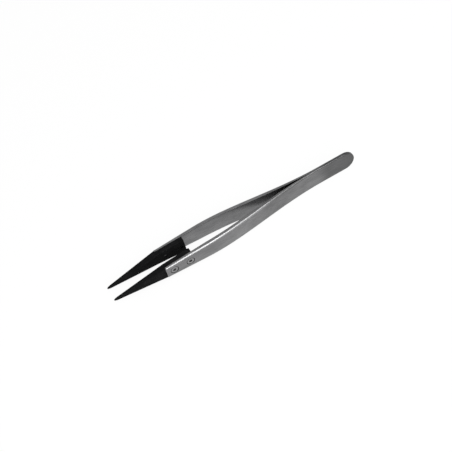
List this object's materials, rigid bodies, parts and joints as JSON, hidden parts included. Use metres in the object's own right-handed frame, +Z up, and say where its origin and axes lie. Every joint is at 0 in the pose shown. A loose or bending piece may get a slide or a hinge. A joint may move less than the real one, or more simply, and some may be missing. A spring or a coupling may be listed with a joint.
{
  "type": "straight tweezers with replaceable tips",
  "caption": "Straight spring-steel tweezers whose bowed arms carry screwed-on black tapered tips for gripping small, sensitive parts.",
  "frame": {"origin": "on the surface that the tweezers lie on, under the middle of their length and of their opening", "axes": "+X along the tweezers towards the points, +Y across the opening towards the left arm, +Z up across the arms' width"},
  "size_m": [0.13, 0.0134, 0.0104],
  "materials": {
    "arm_steel": "satin, brushed along the arms, with tumbled bright edges",
    "tip_plastic": "matt black with a faint speckle of fibres",
    "screw_steel": "plain stainless steel"
  },
  "bodies": {
    "root": {"left_arm": "arm_steel", "right_arm": "arm_steel", "left_tip": "tip_plastic", "right_tip": "tip_plastic", "tip_screws": "screw_steel"}
  },
  "joints": []
}
